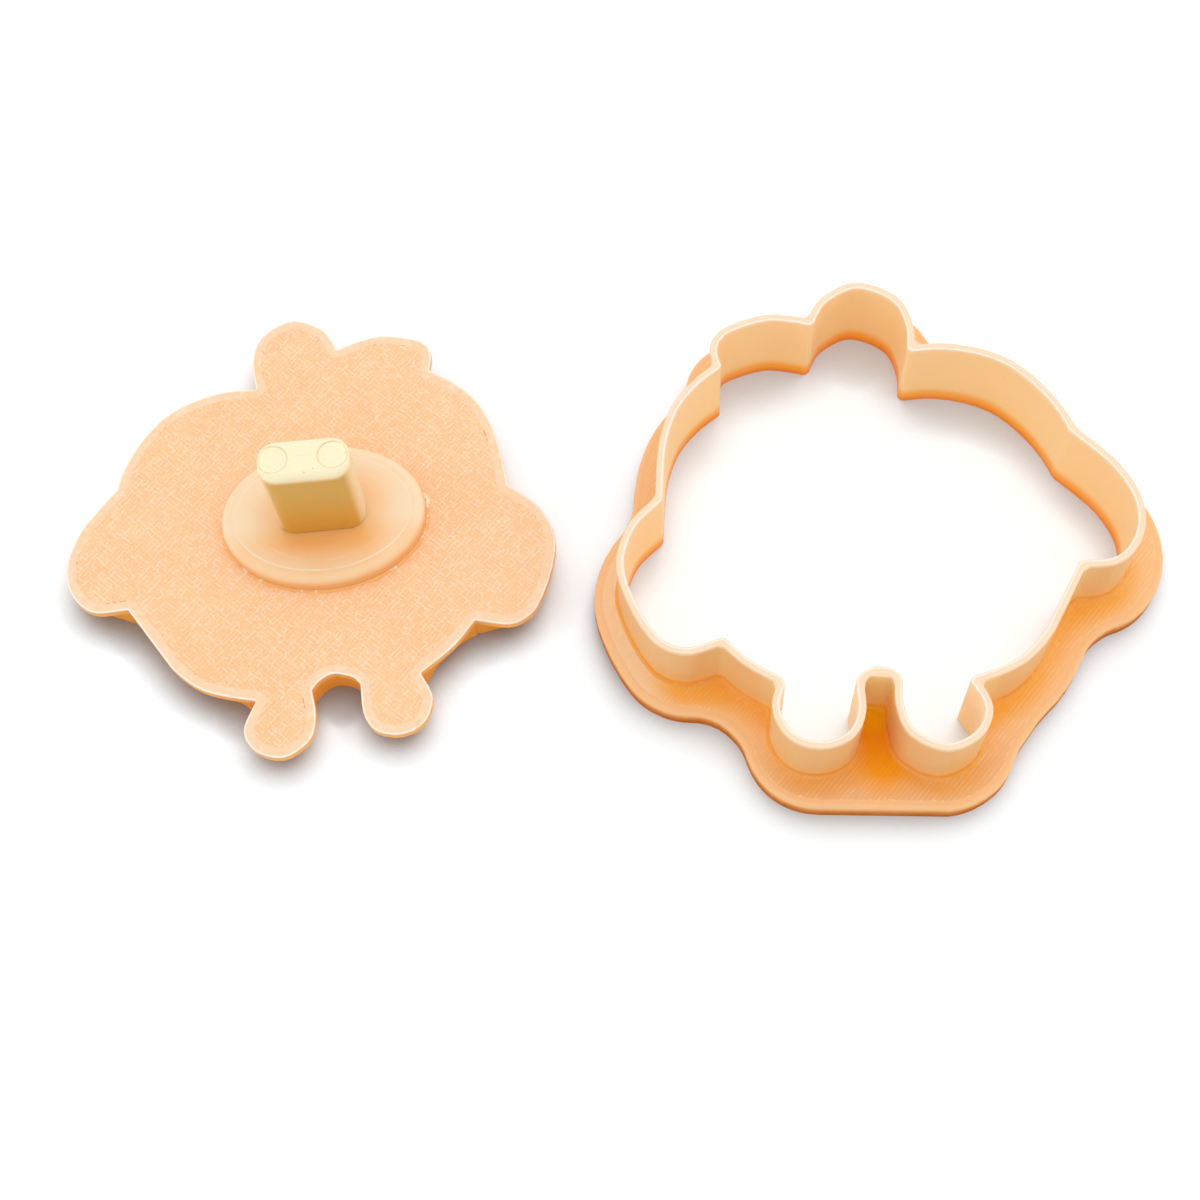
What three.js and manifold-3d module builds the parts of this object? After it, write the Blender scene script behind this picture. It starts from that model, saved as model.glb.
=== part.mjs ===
import * as THREE from 'three';
import { mergeVertices } from 'three/addons/utils/BufferGeometryUtils.js';
import Module from 'manifold-3d';

// A two-piece cookie cutter: an open cutting ring and a stamp with a handle, lying side by side.
// Millimetres and degrees, +Z up, both pieces on the plane z = 0, +X from the stamp to the cutter.

// The figure is a plump chick. Its outline is the inner face of the cutting wall, seen with the
// cutting edge up and measured from the middle of the handle. Each run is a smooth curve through
// its points, and it ends in the notch where the next run starts.
const figureRuns = {
  tuftBall: [[8.4, 19.4], [8.8, 23.2], [7.6, 26.75], [3.7, 28.9], [0.0, 27.5], [-1.6, 25.5]],
  tuftLeaf: [[-2.1, 24.1], [-4.5, 24.95], [-7.6, 25.5], [-11.1, 24.8], [-13.2, 23.8], [-14.05, 22.0]],
  leftShoulder: [[-13.7, 19.75], [-16.6, 17.75], [-19.1, 15.1], [-20.7, 12.0], [-21.6, 8.8], [-22.1, 5.4]],
  leftWing: [
    [-22.45, 2.7], [-25.6, 0.0], [-27.3, -3.2], [-27.65, -6.0], [-26.8, -9.6], [-25.4, -12.9], [-23.9, -14.9],
    [-21.3, -15.9],
  ],
  leftFlank: [[-17.3, -15.0], [-14.7, -18.0]],
  leftFoot: [
    [-10.8, -20.9], [-12.0, -23.8], [-11.3, -26.5], [-9.6, -28.0], [-7.2, -28.4], [-4.8, -27.5],
    [-3.5, -25.2],
  ],
  legGap: [[-3.3, -21.6], [-2.4, -20.7], [-0.4, -20.15], [1.1, -20.8]],
  rightFoot: [[2.0, -21.8], [1.6, -24.9], [2.4, -28.0], [5.6, -29.95], [9.0, -28.8], [10.4, -26.0]],
  rightFlank: [[9.0, -22.6], [12.4, -21.75], [15.5, -20.45], [18.4, -17.9], [20.7, -14.5]],
  rightWing: [
    [23.9, -9.6], [27.8, -9.6], [30.2, -7.8], [31.4, -5.0], [31.3, -1.8], [29.9, 1.6], [27.9, 4.3],
  ],
  rightShoulder: [
    [25.6, 6.9], [25.1, 8.7], [23.7, 11.7], [21.5, 14.8], [19.1, 17.0], [16.0, 18.5], [12.3, 19.4],
  ],
};

// Cutter: a thin upright wall on a flat flange that is pressed with the fingers.
const wallHeight = 11.8;
const wallThickness = 0.9;
const wallNotchRadius = 0.5;
const wallRootChamfer = 0.4;
const flangeThickness = 2.6;
const flangeWidth = 3.4;
const flangeEdgeRadius = 0.45;
const flangeHollowRadius = 6;
const flangeShift = [0.5, -0.45];

// Stamp: a flat plate that drops through the cutter, with raised lines below that mark the dough.
const stampClearance = 0.2;
const plateThickness = 1.1;
const reliefDepth = 2.8;
const reliefLineWidth = 1.2;
const reliefInset = 1.1;
const reliefEasing = 4;
const eyeDiameter = 3.2;
const eyeCentres = [[-5.4, 5.0], [8.6, 4.2]];
const beakLength = 5.4;
const beakWidth = 3.6;
const beakCentre = [1.6, -0.6];
const wingLines = {
  left: [[-22.2, 2.2], [-22.3, -6.2], [-17.9, -14.4]],
  right: [[25.3, 6.2], [26.2, -1.6], [23.9, -9.0]],
};

// Handle: an oval base on a film of glue, and a flat grip whose tenon sits in the base.
const glueThickness = 0.2;
const glueOverhang = 0.4;
const baseLength = 24.5;
const baseWidth = 18.4;
const baseThickness = 2.2;
const baseEdgeRadius = 1.0;
const gripLength = 10.6;
const gripWidth = 5.0;
const gripHeight = 14;
const gripCornerRadius = 2.2;
const gripEdgeRadius = 0.9;
const tenonShoulder = 1.0;
const tenonDepth = 1.2;
const tenonClearance = 0.3;
const pinMarkDiameter = 3.4;
const pinMarkSpacing = 6.8;
const pinMarkDepth = 0.15;

// How the two pieces lie: clear space between them, and how much nearer the cutter is.
const pieceGap = 3.9;
const cutterNearer = 8;

// Fineness of the curves: point spacing while working, and how far a kept line may stray.
const pointSpacing = 0.4;
const lineTolerance = 0.03;
const offsetSlack = 0.003;
const fanStep = THREE.MathUtils.degToRad(12);
const roundSegments = 48;
const edgeSegments = 3;
const overlap = 0.2;

const wasm = await Module();
wasm.setup();

const signedArea = (outline) => THREE.ShapeUtils.area(outline);

function counterClockwise(outline) {
  return signedArea(outline) < 0 ? outline.slice().reverse() : outline;
}

// Each run of the figure as closely spaced points, from its own notch to just short of the next.
function sampleRuns() {
  const names = Object.keys(figureRuns);
  return Object.fromEntries(names.map((name, i) => {
    const next = figureRuns[names[(i + 1) % names.length]];
    const points = [...figureRuns[name], next[0]].map(([x, y]) => new THREE.Vector2(x, y));
    const curve = new THREE.SplineCurve(points);
    const steps = Math.ceil(curve.getLength() / pointSpacing);
    return [name, curve.getSpacedPoints(steps).slice(0, -1)];
  }));
}

// The line that the flange follows: the figure, but straight from foot to foot and straight from
// the right foot to the flank's outer part.
function bridgedFigure(runs) {
  const { tuftBall, tuftLeaf, leftShoulder, leftWing, leftFlank, leftFoot } = runs;
  const { rightFoot, rightFlank, rightWing, rightShoulder } = runs;
  const lowest = (run) => run.indexOf(run.reduce((best, point) => (point.y < best.y ? point : best)));
  const outermost = (run) => run.indexOf(run.reduce((best, point) => (point.x > best.x ? point : best)));
  return [
    tuftBall,
    tuftLeaf,
    leftShoulder,
    leftWing,
    leftFlank,
    leftFoot.slice(0, lowest(leftFoot) + 1),
    rightFoot.slice(lowest(rightFoot), outermost(rightFoot) + 1),
    rightFlank.slice(Math.round(rightFlank.length / 3)),
    rightWing,
    rightShoulder,
  ].flat();
}

// The outline with points added so that no two neighbours lie far apart.
function respace(outline) {
  return outline.flatMap((point, i) => {
    const next = outline[(i + 1) % outline.length];
    const steps = Math.max(1, Math.round(point.distanceTo(next) / pointSpacing));
    return Array.from({ length: steps }, (_, step) => point.clone().lerp(next, step / steps));
  });
}

function distanceToSegment(point, start, end) {
  const along = end.clone().sub(start);
  const share = point.clone().sub(start).dot(along) / along.lengthSq();
  return point.distanceTo(start.clone().addScaledVector(along, THREE.MathUtils.clamp(share, 0, 1)));
}

function distanceToOutline(point, outline) {
  return outline.reduce((least, start, i) => {
    const end = outline[(i + 1) % outline.length];
    const bound = Math.abs(point.x - start.x) - start.distanceTo(end);
    return bound > least ? least : Math.min(least, distanceToSegment(point, start, end));
  }, Infinity);
}

// The line at a set distance outside a closed outline, or inside it where the distance is negative.
// Every point fans out over its corner, and points that come too near another stretch are dropped.
function offsetOutline(line, distance) {
  const outline = respace(line);
  const reach = Math.abs(distance);
  const moved = [];
  outline.forEach((point, i) => {
    const before = outline[(i + outline.length - 1) % outline.length];
    const after = outline[(i + 1) % outline.length];
    const arriving = point.clone().sub(before).angle();
    const leaving = after.clone().sub(point).angle();
    const turn = THREE.MathUtils.euclideanModulo(leaving - arriving + Math.PI, 2 * Math.PI) - Math.PI;
    const fan = Math.max(1, Math.ceil(Math.abs(turn) / fanStep));
    for (let step = 0; step < fan; step += 1) {
      const normal = arriving + (turn * (step + 0.5)) / fan - Math.PI / 2;
      const shift = new THREE.Vector2(Math.cos(normal), Math.sin(normal)).multiplyScalar(distance);
      const candidate = point.clone().add(shift);
      if (distanceToOutline(candidate, outline) > reach * (1 - offsetSlack)) {
        moved.push(candidate);
      }
    }
  });
  return moved;
}

// The outline with its hollows filled to a least radius.
function fillHollows(outline, radius) {
  return offsetOutline(offsetOutline(outline, radius), -radius);
}

// The outline evened out: each point becomes the mean of its neighbours within a set reach.
function easeOutline(outline, reach) {
  const count = Math.round(reach / pointSpacing);
  return outline.map((_, i) => {
    const mean = new THREE.Vector2();
    for (let step = -count; step <= count; step += 1) {
      mean.add(outline[(i + step + outline.length) % outline.length]);
    }
    return mean.divideScalar(2 * count + 1);
  });
}

const mirrored = (outline) => outline.map(({ x, y }) => new THREE.Vector2(-x, y)).reverse();

// Keeps only the points that a stretch of line needs to stay within the tolerance.
function thinStretch(points) {
  const start = points[0];
  const end = points.at(-1);
  let farthest = 0;
  let most = lineTolerance;
  points.forEach((point, i) => {
    const away = start.equals(end) ? point.distanceTo(start) : distanceToSegment(point, start, end);
    if (away > most) {
      most = away;
      farthest = i;
    }
  });
  if (farthest === 0) {
    return [start, end];
  }
  const upToFarthest = thinStretch(points.slice(0, farthest + 1));
  const fromFarthest = thinStretch(points.slice(farthest));
  return [...upToFarthest.slice(0, -1), ...fromFarthest];
}

function thinOutline(outline) {
  return thinStretch([...outline, outline[0]]).slice(0, -1);
}

function solidOf(geometry) {
  geometry.deleteAttribute('normal');
  geometry.deleteAttribute('uv');
  const merged = mergeVertices(geometry);
  return new wasm.Manifold(new wasm.Mesh({
    numProp: 3,
    vertProperties: merged.attributes.position.array,
    triVerts: Uint32Array.from(merged.index.array),
  }));
}

function geometryOf(solid) {
  const { vertProperties, triVerts } = solid.getMesh();
  const geometry = new THREE.BufferGeometry();
  geometry.setAttribute('position', new THREE.BufferAttribute(vertProperties, 3));
  geometry.setIndex(new THREE.BufferAttribute(triVerts, 1));
  geometry.computeVertexNormals();
  return geometry;
}

// An upright block of the outline between two heights.
function block(outline, bottom, top) {
  const shape = new THREE.Shape(thinOutline(outline));
  const geometry = new THREE.ExtrudeGeometry(shape, { depth: top - bottom, bevelEnabled: false });
  return solidOf(geometry.translate(0, 0, bottom));
}

// The same block with its upper edge rounded, or chamfered where it has one segment.
function roundedBlock(outline, bottom, top, radius, segments = edgeSegments) {
  const shape = new THREE.Shape(thinOutline(outline));
  const depth = top - bottom - 2 * radius;
  const geometry = new THREE.ExtrudeGeometry(shape, {
    depth,
    bevelThickness: radius,
    bevelSize: radius,
    bevelOffset: -radius,
    bevelSegments: segments,
  });
  const rounded = solidOf(geometry.translate(0, 0, bottom + radius));
  return rounded.add(block(outline, bottom, bottom + radius + depth / 2));
}

function cylinder([x, y], diameter, bottom, top) {
  const height = top - bottom;
  const geometry = new THREE.CylinderGeometry(diameter / 2, diameter / 2, height, roundSegments / 2);
  return solidOf(geometry.rotateX(Math.PI / 2).translate(x, y, bottom + height / 2));
}

function roundedRectangle(length, width, radius) {
  const path = new THREE.Path();
  const [x, y] = [length / 2 - radius, width / 2 - radius];
  path.absarc(x, y, radius, 0, Math.PI / 2);
  path.absarc(-x, y, radius, Math.PI / 2, Math.PI);
  path.absarc(-x, -y, radius, Math.PI, 1.5 * Math.PI);
  path.absarc(x, -y, radius, 1.5 * Math.PI, 2 * Math.PI);
  return path.getPoints(roundSegments / 4).slice(0, -1);
}

function oval(length, width) {
  const curve = new THREE.EllipseCurve(0, 0, length / 2, width / 2);
  return curve.getPoints(roundSegments).slice(0, -1);
}

// A raised line of set width along a curve through the points.
function reliefLine(points, bottom, top) {
  const curve = new THREE.SplineCurve(points.map(([x, y]) => new THREE.Vector2(x, y)));
  const steps = Math.ceil(curve.getLength() / reliefLineWidth);
  const sides = [-reliefLineWidth / 2, reliefLineWidth / 2].map((shift) =>
    Array.from({ length: steps + 1 }, (_, i) => {
      const tangent = curve.getTangentAt(i / steps);
      const across = new THREE.Vector2(-tangent.y, tangent.x);
      return curve.getPointAt(i / steps).addScaledVector(across, shift);
    }));
  return block([...sides[0], ...sides[1].reverse()], bottom, top);
}

const runs = sampleRuns();
const figure = counterClockwise(Object.values(runs).flat());
const innerFace = fillHollows(figure, wallNotchRadius);
const outerFace = fillHollows(offsetOutline(innerFace, wallThickness), wallNotchRadius);
const stampFigure = mirrored(figure);
const plateOutline = offsetOutline(stampFigure, -stampClearance);
const flangeFigure = counterClockwise(bridgedFigure(runs));
const flangeEdge = offsetOutline(flangeFigure, wallThickness + flangeWidth);
const flangeOutline = fillHollows(flangeEdge, flangeHollowRadius)
  .map((point) => point.add(new THREE.Vector2(...flangeShift)));
const plateTop = reliefDepth + plateThickness;
const baseBottom = plateTop + glueThickness;
const baseTop = baseBottom + baseThickness;

// Cutting ring: flange, wall and the chamfer at the wall's root, open right through.
function cutterRing() {
  const wall = block(outerFace, 0, wallHeight);
  const flange = roundedBlock(flangeOutline, 0, flangeThickness, flangeEdgeRadius);
  const rootTop = flangeThickness + wallRootChamfer;
  const root = roundedBlock(offsetOutline(outerFace, wallRootChamfer), 0, rootTop, wallRootChamfer, 1);
  const opening = block(innerFace, -overlap, wallHeight + overlap);
  return wall.add(flange).add(root).subtract(opening);
}

// Stamp plate: the raised lines stand on the table and carry the plate. They are drawn as they read
// from below, so they are mirrored with the figure.
function stampPlate() {
  const plate = block(plateOutline, reliefDepth, plateTop);
  const top = reliefDepth + plateThickness / 2;
  const mirrorPoint = ([x, y]) => [-x, y];
  const eased = easeOutline(stampFigure, reliefEasing);
  const rimOutside = block(offsetOutline(eased, -reliefInset), 0, top);
  const rimInside = block(offsetOutline(eased, -reliefInset - reliefLineWidth), -overlap, top + overlap);
  const rim = rimOutside.subtract(rimInside);
  const lines = Object.values(wingLines).map((points) => reliefLine(points.map(mirrorPoint), 0, top));
  const eyes = eyeCentres.map((centre) => cylinder(mirrorPoint(centre), eyeDiameter, 0, top));
  const [beakX, beakY] = mirrorPoint(beakCentre);
  const beakCorners = [[-beakLength, 0], [0, -beakWidth], [beakLength, 0], [0, beakWidth]];
  const beak = block(beakCorners.map(([x, y]) => new THREE.Vector2(beakX + x / 2, beakY + y / 2)), 0, top);
  const relief = [...lines, ...eyes, beak].reduce((sum, piece) => sum.add(piece), rim);
  return plate.add(relief.intersect(block(plateOutline, 0, plateTop)));
}

function glueFilm() {
  const outline = oval(baseLength + 2 * glueOverhang, baseWidth + 2 * glueOverhang);
  return block(outline, plateTop, baseBottom);
}

// The grip's section, made smaller all round for the tenon and for the socket that takes it.
function gripSection(inset) {
  return roundedRectangle(gripLength - 2 * inset, gripWidth - 2 * inset, gripCornerRadius - inset);
}

function handleBase() {
  const disc = roundedBlock(oval(baseLength, baseWidth), baseBottom, baseTop, baseEdgeRadius);
  const socketFloor = baseTop - tenonDepth - tenonClearance;
  return disc.subtract(block(gripSection(tenonShoulder - tenonClearance), socketFloor, baseTop + overlap));
}

function handleGrip() {
  const top = baseTop + gripHeight;
  const shank = roundedBlock(gripSection(0), baseTop, top, gripEdgeRadius);
  const tenon = block(gripSection(tenonShoulder), baseTop - tenonDepth, baseTop + overlap);
  const pinMarks = [-1, 1].map((side) =>
    cylinder([(side * pinMarkSpacing) / 2, 0], pinMarkDiameter, top - pinMarkDepth, top + overlap));
  return pinMarks.reduce((rest, mark) => rest.subtract(mark), shank.add(tenon));
}

function piece(name, solid, color, roughness) {
  const material = new THREE.MeshStandardMaterial({ color, roughness, metalness: 0 });
  const mesh = new THREE.Mesh(geometryOf(solid), material);
  mesh.name = name;
  return mesh;
}

const stamp = new THREE.Group();
stamp.add(
  piece('stamp_plate', stampPlate(), 0xfdd0a3, 0.6),
  piece('glue_film', glueFilm(), 0xfdeedd, 0.3),
  piece('handle_base', handleBase(), 0xfcd3ab, 0.4),
  piece('handle_grip', handleGrip(), 0xfdefcc, 0.35),
);

const cutter = new THREE.Group();
cutter.add(piece('cutter_ring', cutterRing(), 0xf6c08a, 0.5));

const set = new THREE.Group();
set.add(stamp, cutter);

// The cutter lies to the right of the stamp, and the set is centred over the origin.
const stampBox = new THREE.Box3().setFromObject(stamp, true);
const cutterBox = new THREE.Box3().setFromObject(cutter, true);
cutter.position.set(stampBox.max.x + pieceGap - cutterBox.min.x, -cutterNearer, 0);
const middle = new THREE.Box3().setFromObject(set, true).getCenter(new THREE.Vector3());
set.position.set(-middle.x, -middle.y, 0);

export default set;
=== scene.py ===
import math

import bmesh
import bpy
import numpy as np
from mathutils import Matrix, Vector


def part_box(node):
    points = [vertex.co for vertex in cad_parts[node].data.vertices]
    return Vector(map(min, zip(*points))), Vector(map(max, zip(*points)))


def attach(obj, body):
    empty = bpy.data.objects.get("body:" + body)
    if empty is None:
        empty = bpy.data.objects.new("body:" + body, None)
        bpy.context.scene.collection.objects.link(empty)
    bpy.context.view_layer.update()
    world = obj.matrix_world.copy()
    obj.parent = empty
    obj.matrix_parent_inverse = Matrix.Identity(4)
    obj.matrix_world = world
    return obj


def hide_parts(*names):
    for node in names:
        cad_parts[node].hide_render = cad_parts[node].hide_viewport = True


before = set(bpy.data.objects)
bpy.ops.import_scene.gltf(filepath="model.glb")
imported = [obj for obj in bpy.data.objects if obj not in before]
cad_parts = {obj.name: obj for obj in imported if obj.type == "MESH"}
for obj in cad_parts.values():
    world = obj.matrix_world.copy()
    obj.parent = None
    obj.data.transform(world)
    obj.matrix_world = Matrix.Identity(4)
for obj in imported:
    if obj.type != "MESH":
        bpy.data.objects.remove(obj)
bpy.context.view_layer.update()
mm = 0.001
hair = 0.01 * mm  # close enough in tests of height
fullTurn = 2 * math.pi
white = (1, 1, 1, 1)
black = (0, 0, 0, 1)

photoView = {
    "place": (-0.00182, -0.10177, 0.21751),  # metres, in the part's own frame
    "tilt": 24.0,  # degrees away from straight down
    "roll": -5.19,
    "lens": 59.55,
    "sensor": 36.0,
    "clipStart": 0.01,
}

studio = {
    "floorSize": 6.0,
    "floorDrop": 0.02 * mm,  # keeps the floor just off the flat undersides
    "floorColor": (0.92, 0.94, 0.955, 1),  # in the light that the paper sends back
    "floorSeen": (0.47, 0.50, 0.52, 1),  # as the camera sees it, before the lift
    "floorLift": 0.60,  # only the camera sees it, so that the paper reads white
    "floorShade": (0.30, 0.275, 0.26, 1),
    "shadeReach": 5.3 * mm,  # how far from a piece the paper starts to darken
    "shadeToward": (0.2, 0.75, 0.63),
    "shadeFade": (0.25, 0.92),
    "shadeSamples": 12,
    "cutterSide": (-3 * mm, 3 * mm),  # along x, from the stamp over to the cutter
    "cutterShade": 0.42,  # so much less shade by the low flange of the cutter
    "farSide": (4 * mm, 16 * mm),  # along y, under the cutter's far wall
    "farReach": 2.2 * mm,  # the shade goes so much further there
    "skyStrength": 0.82,
    "softboxes": [  # place, width, height and power
        ((0.16, 0.28, 0.88), 1.0, 0.8, 1.6),
        ((-0.65, -0.05, 0.27), 0.5, 0.3, 0.55),
        ((0.65, -0.05, 0.27), 0.5, 0.3, 0.55),
    ],
    "bounces": 12,  # light goes back and forth many times between the close walls
}


def onlyActive(piece):
    if bpy.context.mode != "OBJECT":
        bpy.ops.object.mode_set(mode="OBJECT")
    bpy.ops.object.select_all(action="DESELECT")
    piece.select_set(True)
    bpy.context.view_layer.objects.active = piece


def startEdit(piece):
    onlyActive(piece)
    bpy.ops.object.mode_set(mode="EDIT")


def endEdit():
    bpy.ops.object.mode_set(mode="OBJECT")


# selects the faces or edges of the piece in edit mode that the test says yes to
def pick(piece, kind, test):
    bpy.ops.mesh.select_mode(type=kind)
    bpy.ops.mesh.select_all(action="DESELECT")
    shape = bmesh.from_edit_mesh(piece.data)
    shape.normal_update()
    for item in shape.faces if kind == "FACE" else shape.edges:
        item.select_set(bool(test(item)))
    shape.select_flush_mode()
    bmesh.update_edit_mesh(piece.data)


def facesUpAt(height):
    def test(face):
        return face.normal.z > 0.999 and abs(face.calc_center_median().z - height) < 2 * hair
    return test


def facesAbove(height):
    def test(face):
        return face.calc_center_median().z > height
    return test


def facesDown(face):
    return face.normal.z < -0.99


def dress(piece, finish):
    piece.active_material_index = piece.data.materials.find(finish.material.name)
    bpy.ops.object.material_slot_assign()


# a merged copy of a CAD node, with its flat faces whole again, left in edit mode
def copyNode(nodeName, pieceName, finishes, merge=0.002 * mm, flat=0.3):
    piece = bpy.data.objects.new(pieceName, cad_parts[nodeName].data.copy())
    bpy.context.scene.collection.objects.link(piece)
    piece.data.materials.clear()
    for finish in finishes:
        piece.data.materials.append(finish.material)
    onlyActive(piece)
    bpy.ops.mesh.customdata_custom_splitnormals_clear()
    startEdit(piece)
    bpy.ops.mesh.select_all(action="SELECT")
    bpy.ops.mesh.remove_doubles(threshold=merge)
    bpy.ops.mesh.dissolve_limited(angle_limit=math.radians(flat))
    return piece


# rounds the edges of the flat top at the given height
def roundTop(piece, height, offset, segments, clamp=False):
    pick(piece, "FACE", facesUpAt(height))
    bpy.ops.mesh.region_to_loop()
    bpy.ops.mesh.bevel(offset=offset, segments=segments, affect="EDGES", clamp_overlap=clamp)


def raiseBy(height):
    bpy.ops.transform.translate(value=(0, 0, height))


# splits the faces that the test says yes to, at the places along x and those along y
def cutAcross(piece, test, placesOnAxes):
    pick(piece, "FACE", test)
    bpy.ops.mesh.quads_convert_to_tris()
    for axis, places in enumerate(placesOnAxes):
        normal = Vector((0, 0, 0))
        normal[axis] = 1
        for place in places:
            pick(piece, "FACE", test)
            bpy.ops.mesh.bisect(plane_co=normal * place, plane_no=normal)


def smoothOver(piece, degrees):
    onlyActive(piece)
    bpy.ops.object.shade_smooth_by_angle(angle=math.radians(degrees))
    bpy.ops.object.modifier_add(type="WEIGHTED_NORMAL")
    piece.modifiers[-1].keep_sharp = True
    bpy.ops.object.modifier_apply(modifier=piece.modifiers[-1].name)


# takes the tool's shape out of the piece, and the tool away
def cut(piece, tool):
    onlyActive(piece)
    bpy.ops.object.modifier_add(type="BOOLEAN")
    piece.modifiers[-1].operation = "DIFFERENCE"
    piece.modifiers[-1].object = tool
    piece.modifiers[-1].solver = "EXACT"
    bpy.ops.object.modifier_apply(modifier=piece.modifiers[-1].name)
    bpy.data.objects.remove(tool)


def settle(piece):
    onlyActive(piece)
    bpy.ops.object.transform_apply(location=True, rotation=True, scale=True)


def points(piece):
    found = np.empty(len(piece.data.vertices) * 3)
    piece.data.vertices.foreach_get("co", found)
    return found.reshape(-1, 3)


# distance in plan from each point to the nearest of the given line segments
def distanceInPlan(places, segments):
    best = np.full(len(places), np.inf)
    for start, end in segments:
        along = end[:2] - start[:2]
        share = np.clip(((places[:, :2] - start[:2]) @ along) / max(along @ along, 1e-18), 0, 1)
        nearest = start[:2] + share[:, None] * along
        best = np.minimum(best, np.linalg.norm(places[:, :2] - nearest, axis=1))
    return best


# 0 at the first limit and before it, 1 at the second and beyond
def fade(values, none, full):
    return np.clip((values - none) / (full - none), 0, 1)


def storeValues(piece, name, values):
    attribute = piece.data.attributes.new(name, "FLOAT", "POINT")
    attribute.data.foreach_set("value", values.astype(np.float32))


# screen values of a colour, from 0 to 255, as the linear ones that a shader takes
def tone(red, green, blue):
    parts = [value / 255 for value in (red, green, blue)]
    return tuple(p / 12.92 if p <= 0.04045 else ((p + 0.055) / 1.055) ** 2.4 for p in parts) + (1.0,)


# one socket; plain arithmetic on it adds Math nodes
class Flow:
    def __init__(self, nodes, socket):
        self.nodes = nodes
        self.socket = socket

    def calc(self, operation, *values):
        return self.nodes.add("ShaderNodeMath", {"operation": operation}, dict(enumerate(values)))

    def __add__(self, other):
        return self.calc("ADD", self, other)

    def __radd__(self, other):
        return self.calc("ADD", other, self)

    def __sub__(self, other):
        return self.calc("SUBTRACT", self, other)

    def __rsub__(self, other):
        return self.calc("SUBTRACT", other, self)

    def __mul__(self, other):
        return self.calc("MULTIPLY", self, other)

    def __rmul__(self, other):
        return self.calc("MULTIPLY", other, self)

    def __truediv__(self, other):
        return self.calc("DIVIDE", self, other)

    def __or__(self, other):
        return self.calc("MAXIMUM", self, other)

    def __and__(self, other):
        return self.calc("MINIMUM", self, other)

    def __abs__(self):
        return self.calc("ABSOLUTE", self)

    def whole(self):
        return self.calc("FLOOR", self)

    # 0 in the middle of each whole step, 0.5 where two meet
    def fromMiddle(self):
        return abs(self.calc("FRACT", self) - 0.5)

    def sine(self):
        return self.calc("SINE", self)

    def cosine(self):
        return self.calc("COSINE", self)

    def root(self):
        return self.calc("SQRT", self)

    def step(self, none, full):
        return self.nodes.add(
            "ShaderNodeMapRange",
            {"interpolation_type": "SMOOTHSTEP"},
            {"Value": self, "From Min": none, "From Max": full},
        )


class Nodes:
    def __init__(self, tree):
        self.tree = tree

    # any node: its type, its settings, which are set first, and the values or links of its sockets
    def add(self, kind, settings=None, sockets=None, output=0):
        node = self.tree.nodes.new(kind)
        for key, value in (settings or {}).items():
            setattr(node, key, value)
        for key, value in (sockets or {}).items():
            self.feed(node.inputs[key], value)
        return Flow(self, node.outputs[output])

    def feed(self, socket, value):
        if isinstance(value, Flow):
            self.tree.links.new(value.socket, socket)
        else:
            socket.default_value = value

    # yes for the rays that should meet white paper: straight from the camera, or by gloss or glass
    def seenByCamera(self):
        rays = self.add("ShaderNodeLightPath").socket.node.outputs
        straight, gloss, glass = [
            Flow(self, rays[name]) for name in ("Is Camera Ray", "Is Glossy Ray", "Is Transmission Ray")
        ]
        return straight | gloss | glass


class Finish(Nodes):
    def __init__(self, name, **uniform):
        self.material = bpy.data.materials.new(name)
        self.material.use_nodes = True
        super().__init__(self.material.node_tree)
        self.shader = self.tree.nodes["Principled BSDF"]
        for key, value in uniform.items():
            self.shader.inputs[key.replace("_", " ")].default_value = value

    def set(self, name, value):
        self.feed(self.shader.inputs[name], value)

    def place(self):
        return self.add("ShaderNodeTexCoord", output="Object")

    def parts(self, vector):
        split = self.add("ShaderNodeSeparateXYZ", sockets={0: vector}).socket.node
        return [Flow(self, socket) for socket in split.outputs]

    def turned(self, pitch, degrees):
        return self.add(
            "ShaderNodeMapping",
            sockets={
                "Vector": self.place(),
                "Rotation": (0, 0, math.radians(degrees)),
                "Scale": (1 / pitch, 1 / pitch, 1 / pitch),
            },
        )

    def noise(self, size, detail, output="Fac", stretch=(1, 1, 1)):
        spot = self.add("ShaderNodeMapping", sockets={"Vector": self.place(), "Scale": stretch})
        return self.add(
            "ShaderNodeTexNoise",
            sockets={"Vector": spot, "Scale": 1 / size, "Detail": detail},
            output=output,
        )

    # blots of noise: size, detail, and the values from which and up to which they come in
    def blots(self, size, detail, none, full, stretch=(1, 1, 1)):
        return self.noise(size, detail, stretch=stretch).step(none, full)

    # an even chance from 0 to 1 for each whole step of one or two counts
    def chance(self, first, second=0.0, seed=0.0):
        spot = self.add("ShaderNodeCombineXYZ", sockets={0: first, 1: second, 2: seed})
        return self.add("ShaderNodeTexWhiteNoise", {"noise_dimensions": "3D"}, {"Vector": spot})

    def value(self, name):
        return self.add("ShaderNodeAttribute", {"attribute_name": name}, output="Fac")

    def mix(self, share, first, second):
        return self.add(
            "ShaderNodeMix", {"data_type": "RGBA"}, {0: share, 6: first, 7: second}, output=2
        )

    # a colour with others laid over it in turn, each by its share
    def layered(self, color, *layers):
        for share, over in layers:
            color = self.mix(share, color, over)
        return color

    def bump(self, height, depth, strength):
        return self.add(
            "ShaderNodeBump", sockets={"Strength": strength, "Distance": depth, "Height": height}
        )


print("scene: camera and studio")


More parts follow.
